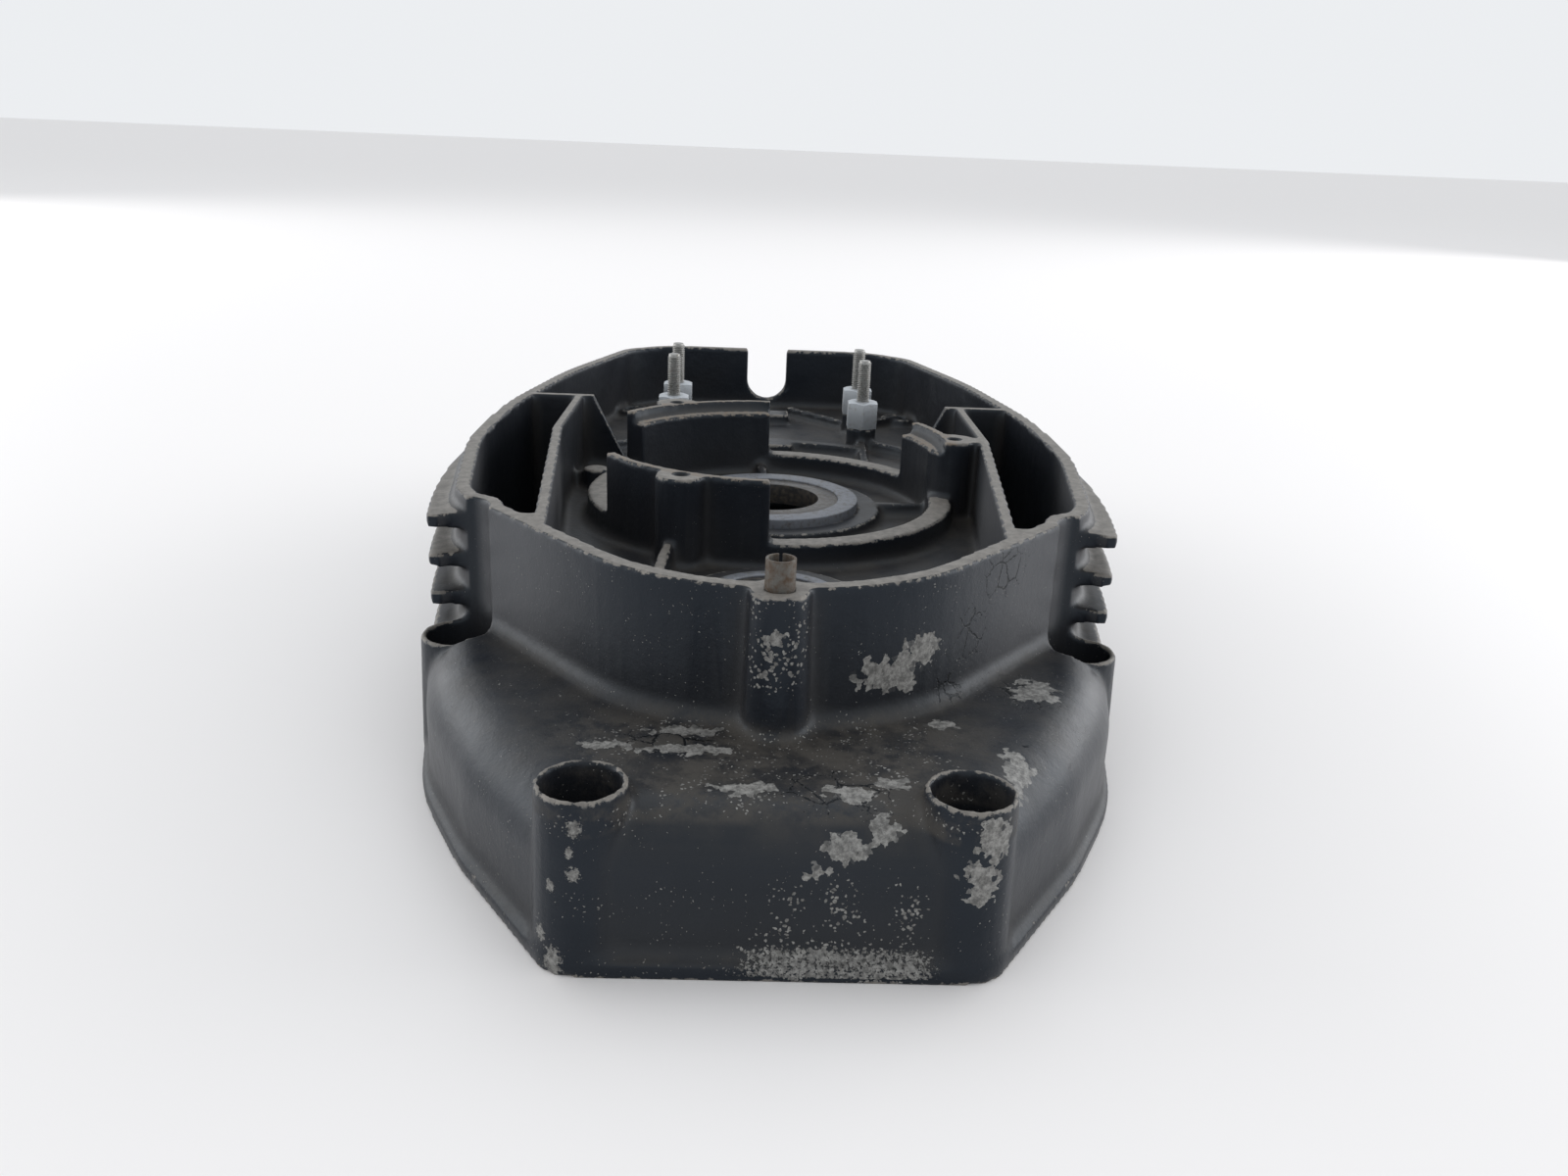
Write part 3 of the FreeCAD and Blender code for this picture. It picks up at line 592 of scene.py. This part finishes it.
castingSkin = {
    "voxel": 0.75 * mm,          # how finely the casting is skinned
    "soften": 4,                 # rounds that take the sharpness off every edge
    "softenStep": 0.5,
    "filletRounds": 26,          # rounds that grow the cast fillets in its corners
    "filletBelow": 0.16,         # corners bent tighter than this, in 1/mm, keep growing
    "filletBand": 0.1,           # how much tighter until they grow at full speed
    "filletStep": 0.6,           # share of the way to its neighbours' mean that a point moves in a round
    "measureEvery": 4,           # rounds between two looks at how tight the corners are
    "widen": 3,                  # rounds that widen the growing stretch
    "quickVoxel": 1.3 * mm,
    # name: (side, rounds of smoothing, bend in 1/mm that counts as full)
    "marks": {"edge": (-1, 3, 0.45), "hollow": (1, 14, 0.22)},
    "triangles": 190000,
    "lugs": 3,                   # screw lugs round the cup, whose holes keep their shape
    "lugStart": 4,               # direction of the first, in degrees
    "lugCircle": 57.3,           # in millimetres, like the next two
    "lugKept": 3.2,
    "sealKept": 34.0,
}


def neighbourMean(values, ends, count):
    total = np.zeros_like(values)
    for axis in range(values.shape[1]):
        for here, there in (ends, ends[::-1]):
            total[:, axis] += np.bincount(here, values[there, axis], len(values))
    return total / count[:, None]


def meshArrays(mesh):
    places = np.empty(len(mesh.vertices) * 3)
    mesh.vertices.foreach_get("co", places)
    ends = np.empty(len(mesh.edges) * 2, int)
    mesh.edges.foreach_get("vertices", ends)
    ends = ends.reshape(-1, 2).T
    count = np.bincount(ends.ravel(), minlength=len(mesh.vertices))
    return places.reshape(-1, 3) / mm, (ends[0], ends[1]), count


def bending(places, ends, count, normals, spacing):
    # how sharply the surface bends, in 1/mm: more than 0 in a corner, less than 0 on an edge
    lift = ((neighbourMean(places, ends, count) - places) * normals).sum(1)
    return lift * 4 / spacing ** 2


def vertexNormals(mesh):
    normals = np.empty(len(mesh.vertices) * 3)
    mesh.vertex_normals.foreach_get("vector", normals)
    return normals.reshape(-1, 3)


def keptHoles(places, settings):
    # screw holes and the seats of the seals stay as they are
    keep = np.zeros(len(places), bool)
    middle = np.array([crankAxis.x, crankAxis.y]) / mm
    spots = [(middle, settings["sealKept"])]
    for k in range(settings["lugs"]):
        turn = math.radians(settings["lugStart"] + 360 / settings["lugs"] * k)
        lug = middle + settings["lugCircle"] * np.array([math.cos(turn), math.sin(turn)])
        spots.append((lug, settings["lugKept"]))
    for spot, reach in spots:
        keep |= ((places[:, :2] - spot) ** 2).sum(1) < reach ** 2
    return keep


def growFillets(mesh, settings):
    places, ends, count = meshArrays(mesh)
    spacing = settings["voxel"] / mm
    kept = keptHoles(places, settings)
    for k in range(settings["filletRounds"]):
        if k % settings["measureEvery"] == 0:
            mesh.vertices.foreach_set("co", (places * mm).ravel())
            mesh.update()
            bend = bending(places, ends, count, vertexNormals(mesh), spacing)
            share = np.clip((bend - settings["filletBelow"]) / settings["filletBand"], 0, 1)
            share[kept] = 0
            for widening in range(settings["widen"]):
                share = np.maximum(share, neighbourMean(share[:, None], ends, count)[:, 0])
        places += (neighbourMean(places, ends, count) - places) * (settings["filletStep"] * share)[:, None]
    mesh.vertices.foreach_set("co", (places * mm).ravel())
    mesh.update()


def markEdges(mesh, settings):
    # "edge" is 1 on outside edges, "hollow" is 1 in inside corners
    places, ends, count = meshArrays(mesh)
    bend = bending(places, ends, count, vertexNormals(mesh), settings["voxel"] / mm)[:, None]
    for name, (side, rounds, full) in settings["marks"].items():
        value = np.clip(side * bend, 0, None)
        for k in range(rounds):
            value = neighbourMean(value, ends, count)
        layer = mesh.attributes.new(name, "FLOAT", "POINT")
        layer.data.foreach_set("value", np.clip(value[:, 0] / full, 0, 1).astype(np.float32))


def makeCasting(settings):
    mesh = mergedCopy("cover_casting", "cover_skin")
    piece = newPiece("cover_skin", mesh, "worn_black_paint", "cover_casting")
    skin = piece.modifiers.new("skin", "REMESH")
    skin.mode = "VOXEL"
    skin.voxel_size = settings["voxel"]
    soften = piece.modifiers.new("soften", "SMOOTH")
    soften.factor = settings["softenStep"]
    soften.iterations = settings["soften"]
    mesh = applyModifiers(piece)
    growFillets(mesh, settings)
    markEdges(mesh, settings)
    print("casting skinned:", len(mesh.polygons), "faces")
    thin = piece.modifiers.new("thin", "DECIMATE")
    thin.ratio = settings["triangles"] / (2 * len(mesh.polygons))
    mesh = applyModifiers(piece)
    mesh.materials.clear()
    mesh.materials.append(materials["worn_black_paint"])
    mesh.shade_smooth()
    print("casting finished:", len(mesh.polygons), "faces")
    return piece


makeCasting(castingSkin)


# small machined pieces

finishedPieces = {
    # node: (material, slot, bevel in millimetres)
    "crank_seal_case": ("dusty_seal_steel", "seal_case", 0.35),
    "cam_seal_case": ("dusty_seal_steel", "seal_case", 0.3),
    "crank_seal_lip": ("oily_seal_rubber", "seal_rubber", 0.25),
    "cam_seal_lip": ("oily_seal_rubber", "seal_rubber", 0.25),
    "crank_bearing_outer_race": ("bearing_steel", "bearing_steel", 0.5),
    "crank_bearing_inner_race": ("bearing_steel", "bearing_steel", 0.5),
    "crank_bearing_cage": ("cage_steel", "cage_brass", 0.2),
    "crank_bearing_circlip": ("circlip_steel", "circlip_steel", 0.12),
}
posts = ["front_left", "front_right", "rear_left", "rear_right"]
for post in posts:
    finishedPieces["rectifier_standoff_" + post] = ("standoff_alloy", "standoff_alloy", 0.15)


# angles in degrees
machining = {"flatWithin": 1, "sharpAbove": 28, "smoothBelow": 35}


def easeEdges(node, materialName, width, settings):
    # the node's own shape with its sharp edges taken off
    mesh = mergedCopy(node, node + "_finished")
    bm = bmesh.new()
    bm.from_mesh(mesh)
    flat = math.radians(settings["flatWithin"])
    bmesh.ops.dissolve_limit(bm, angle_limit=flat, verts=bm.verts, edges=bm.edges)
    sharpAngle = math.radians(settings["sharpAbove"])
    sharp = [e for e in bm.edges if e.is_manifold and e.calc_face_angle() > sharpAngle]
    roundOff(bm, sharp, width * mm, offset_type="OFFSET", clamp_overlap=True)
    bm.to_mesh(mesh)
    bm.free()
    smoothBelow(mesh, settings["smoothBelow"])
    return newPiece(node + "_finished", mesh, materialName, node)


for node, (materialName, slotName, width) in finishedPieces.items():
    easeEdges(node, materialName, width, machining)
print("machined pieces finished:", len(finishedPieces))


# rectifier studs

stud = {
    "pitch": 0.8 * mm,
    "radius": 2.47 * mm,
    "core": 2.06 * mm,
    "sunk": 0.1 * mm,        # how far the thread's foot is sunk in the core
    # where across the pitch its foot, flanks and crest lie, as shares of the pitch
    "foot": (0.05, 0.95),
    "flanks": (0.12, 0.88),
    "crest": (0.44, 0.56),
    "rodSides": 36,
    "ease": 0.35 * mm,
    "smoothBelow": 50,       # degrees
    "buried": 1.0 * mm,      # how far the thread reaches into the standoff
    "steps": 22,             # faces round one turn
}


def threadedStud(name, node, settings):
    low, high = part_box(node)
    centre = (low + high) / 2
    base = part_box(node.replace("stud", "standoff"))[1].z - settings["buried"]
    pitch, core, crest = settings["pitch"], settings["core"], settings["radius"]
    middle = Matrix.Translation((centre.x, centre.y, (high.z + base) / 2))
    bm = bmesh.new()
    bmesh.ops.create_cone(bm, cap_ends=True, segments=settings["rodSides"], radius1=core, radius2=core,
                          depth=high.z - base, matrix=middle)
    ends = [e for e in bm.edges if all(abs(v.co.z - high.z) < 0.01 * mm for v in e.verts)]
    roundOff(bm, ends, settings["ease"])
    rising = [(core - settings["sunk"], settings["foot"]), (core, settings["flanks"]),
              (crest, settings["crest"])]
    profile = [(radius, shares[0]) for radius, shares in rising]
    profile += [(radius, shares[1]) for radius, shares in rising[::-1]]
    face = bm.faces.new([bm.verts.new((centre.x + radius, centre.y, base + share * pitch))
                         for radius, share in profile])
    turns = int((high.z - base) / pitch) - 1
    bmesh.ops.spin(bm, geom=[face, *face.edges, *face.verts], cent=centre, axis=(0, 0, 1),
                   dvec=(0, 0, pitch / settings["steps"]), angle=math.tau * turns,
                   steps=settings["steps"] * turns, use_duplicate=False)
    bmesh.ops.holes_fill(bm, edges=[e for e in bm.edges if e.is_boundary], sides=8)
    bmesh.ops.recalc_face_normals(bm, faces=bm.faces)
    return newPiece(name, newMesh(bm, name, settings["smoothBelow"]), "dull_stud_steel", node)


for post in posts:
    threadedStud("threaded_stud_" + post, "rectifier_stud_" + post, stud)
print("studs threaded")


# locating sleeve

sleeve = {
    "wall": 0.6 * mm,
    "slit": 0.8 * mm,
    "inset": 0.05 * mm,      # how far its outside lies within the plain shape's
    "steps": 56,             # faces round it
    "ease": 0.16 * mm,
    "rimAngle": 60,          # degrees, like the next
    "smoothBelow": 50,
}


def rolledSleeve(settings):
    low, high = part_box("locating_sleeve")
    centre = (low + high) / 2
    outer = (high.x - low.x) / 2
    inner = outer - settings["wall"]
    outside = outer - settings["inset"]
    half = settings["slit"] / 2 / outer
    bm = bmesh.new()
    wall = [bm.verts.new((centre.x + radius, centre.y, z)) for radius, z in
            ((inner, low.z), (outside, low.z), (outside, high.z), (inner, high.z))]
    face = bm.faces.new(wall)
    bmesh.ops.rotate(bm, verts=wall, cent=centre, matrix=Matrix.Rotation(math.pi / 2 + half, 3, "Z"))
    bmesh.ops.spin(bm, geom=[face, *face.edges, *face.verts], cent=centre, axis=(0, 0, 1), dvec=(0, 0, 0),
                   angle=math.tau - 2 * half, steps=settings["steps"], use_duplicate=False)
    bmesh.ops.holes_fill(bm, edges=[e for e in bm.edges if e.is_boundary], sides=4)
    bmesh.ops.recalc_face_normals(bm, faces=bm.faces)
    rims = [e for e in bm.edges if e.calc_face_angle(0) > math.radians(settings["rimAngle"])]
    roundOff(bm, rims, settings["ease"])
    mesh = newMesh(bm, "rolled_sleeve", settings["smoothBelow"])
    return newPiece("rolled_sleeve", mesh, "rusty_sleeve_steel", "locating_sleeve")


rolledSleeve(sleeve)

# nodes whose own shape is right keep it, and take a finish
for node, materialName in (("crank_bearing_balls", "ball_steel"), ("crank_seal_spring", "spring_steel"),
                           ("cam_seal_spring", "spring_steel")):
    cadNodes[node].data.materials.clear()
    cadNodes[node].data.materials.append(materials[materialName])
print("sleeve rolled, CAD nodes finished")


# floor, lights and camera

studio = {
    "floor": (0.83, 0.815, 0.81, 1),
    "floorHalf": 40.0,
    "floorRoughness": 0.6,
    "world": (0.955, 0.975, 1.0, 1),
    "worldStrength": 0.88,
    # name: (place, aimed at, width, depth, watts, colour)
    "lights": {
        "overhead": ((0.0, 1.1, 2.4), (0, 0, 0), 2.0, 1.6, 7, (0.90, 0.95, 1.0)),
        "left_window": ((-1.9, 0.75, 0.6), (0, 0, 0.04), 2.4, 1.1, 18, (1.0, 0.985, 0.97)),
        "right_window": ((1.9, 0.75, 0.6), (0, 0, 0.04), 2.4, 1.1, 24, (1.0, 0.985, 0.98)),
    },
}


def makeFloor(settings):
    # one pale sheet that runs far past the cover
    bm = bmesh.new()
    bmesh.ops.create_grid(bm, x_segments=1, y_segments=1, size=settings["floorHalf"])
    mesh = bpy.data.meshes.new("floor")
    bm.to_mesh(mesh)
    bm.free()
    material, tree, shader = newMaterial("pale_floor")
    shader.inputs["Base Color"].default_value = settings["floor"]
    shader.inputs["Roughness"].default_value = settings["floorRoughness"]
    mesh.materials.append(material)
    floor = bpy.data.objects.new("floor", mesh)
    scene.collection.objects.link(floor)


def makeLights(settings):
    world = bpy.data.worlds.new("studio")
    world.use_nodes = True
    scene.world = world
    back = world.node_tree.nodes["Background"]
    back.inputs["Color"].default_value = settings["world"]
    back.inputs["Strength"].default_value = settings["worldStrength"]
    for name, (place, aim, width, depth, watts, colour) in settings["lights"].items():
        light = bpy.data.lights.new(name, "AREA")
        light.shape, light.size, light.size_y = "RECTANGLE", width, depth
        light.energy, light.color = watts, colour
        lamp = bpy.data.objects.new(name, light)
        lamp.location = place
        lamp.rotation_euler = (Vector(aim) - Vector(place)).to_track_quat("-Z", "Y").to_euler()
        scene.collection.objects.link(lamp)


view = {
    "place": (-0.00745, -0.37971, 0.14766),
    "down": 19.32,           # degrees, like the next two
    "turn": -1.96,
    "tilt": 2.39,
    "lens": 28.99,           # millimetres, like the sensor
    "sensor": 36,
    "nearest": 0.01,
}


def makeCamera(settings):
    data = bpy.data.cameras.new("camera")
    data.lens = settings["lens"]
    data.sensor_width = settings["sensor"]
    data.clip_start = settings["nearest"]
    camera = bpy.data.objects.new("camera", data)
    turn = Matrix.Rotation(math.radians(settings["turn"]), 4, "Z")
    down = Matrix.Rotation(math.radians(90 - settings["down"]), 4, "X")
    tilt = Matrix.Rotation(math.radians(settings["tilt"]), 4, "Z")
    camera.matrix_world = Matrix.Translation(settings["place"]) @ turn @ down @ tilt
    scene.collection.objects.link(camera)
    scene.camera = camera


makeFloor(studio)
makeLights(studio)
makeCamera(view)
scene.view_settings.view_transform = "Standard"
print("stage set")
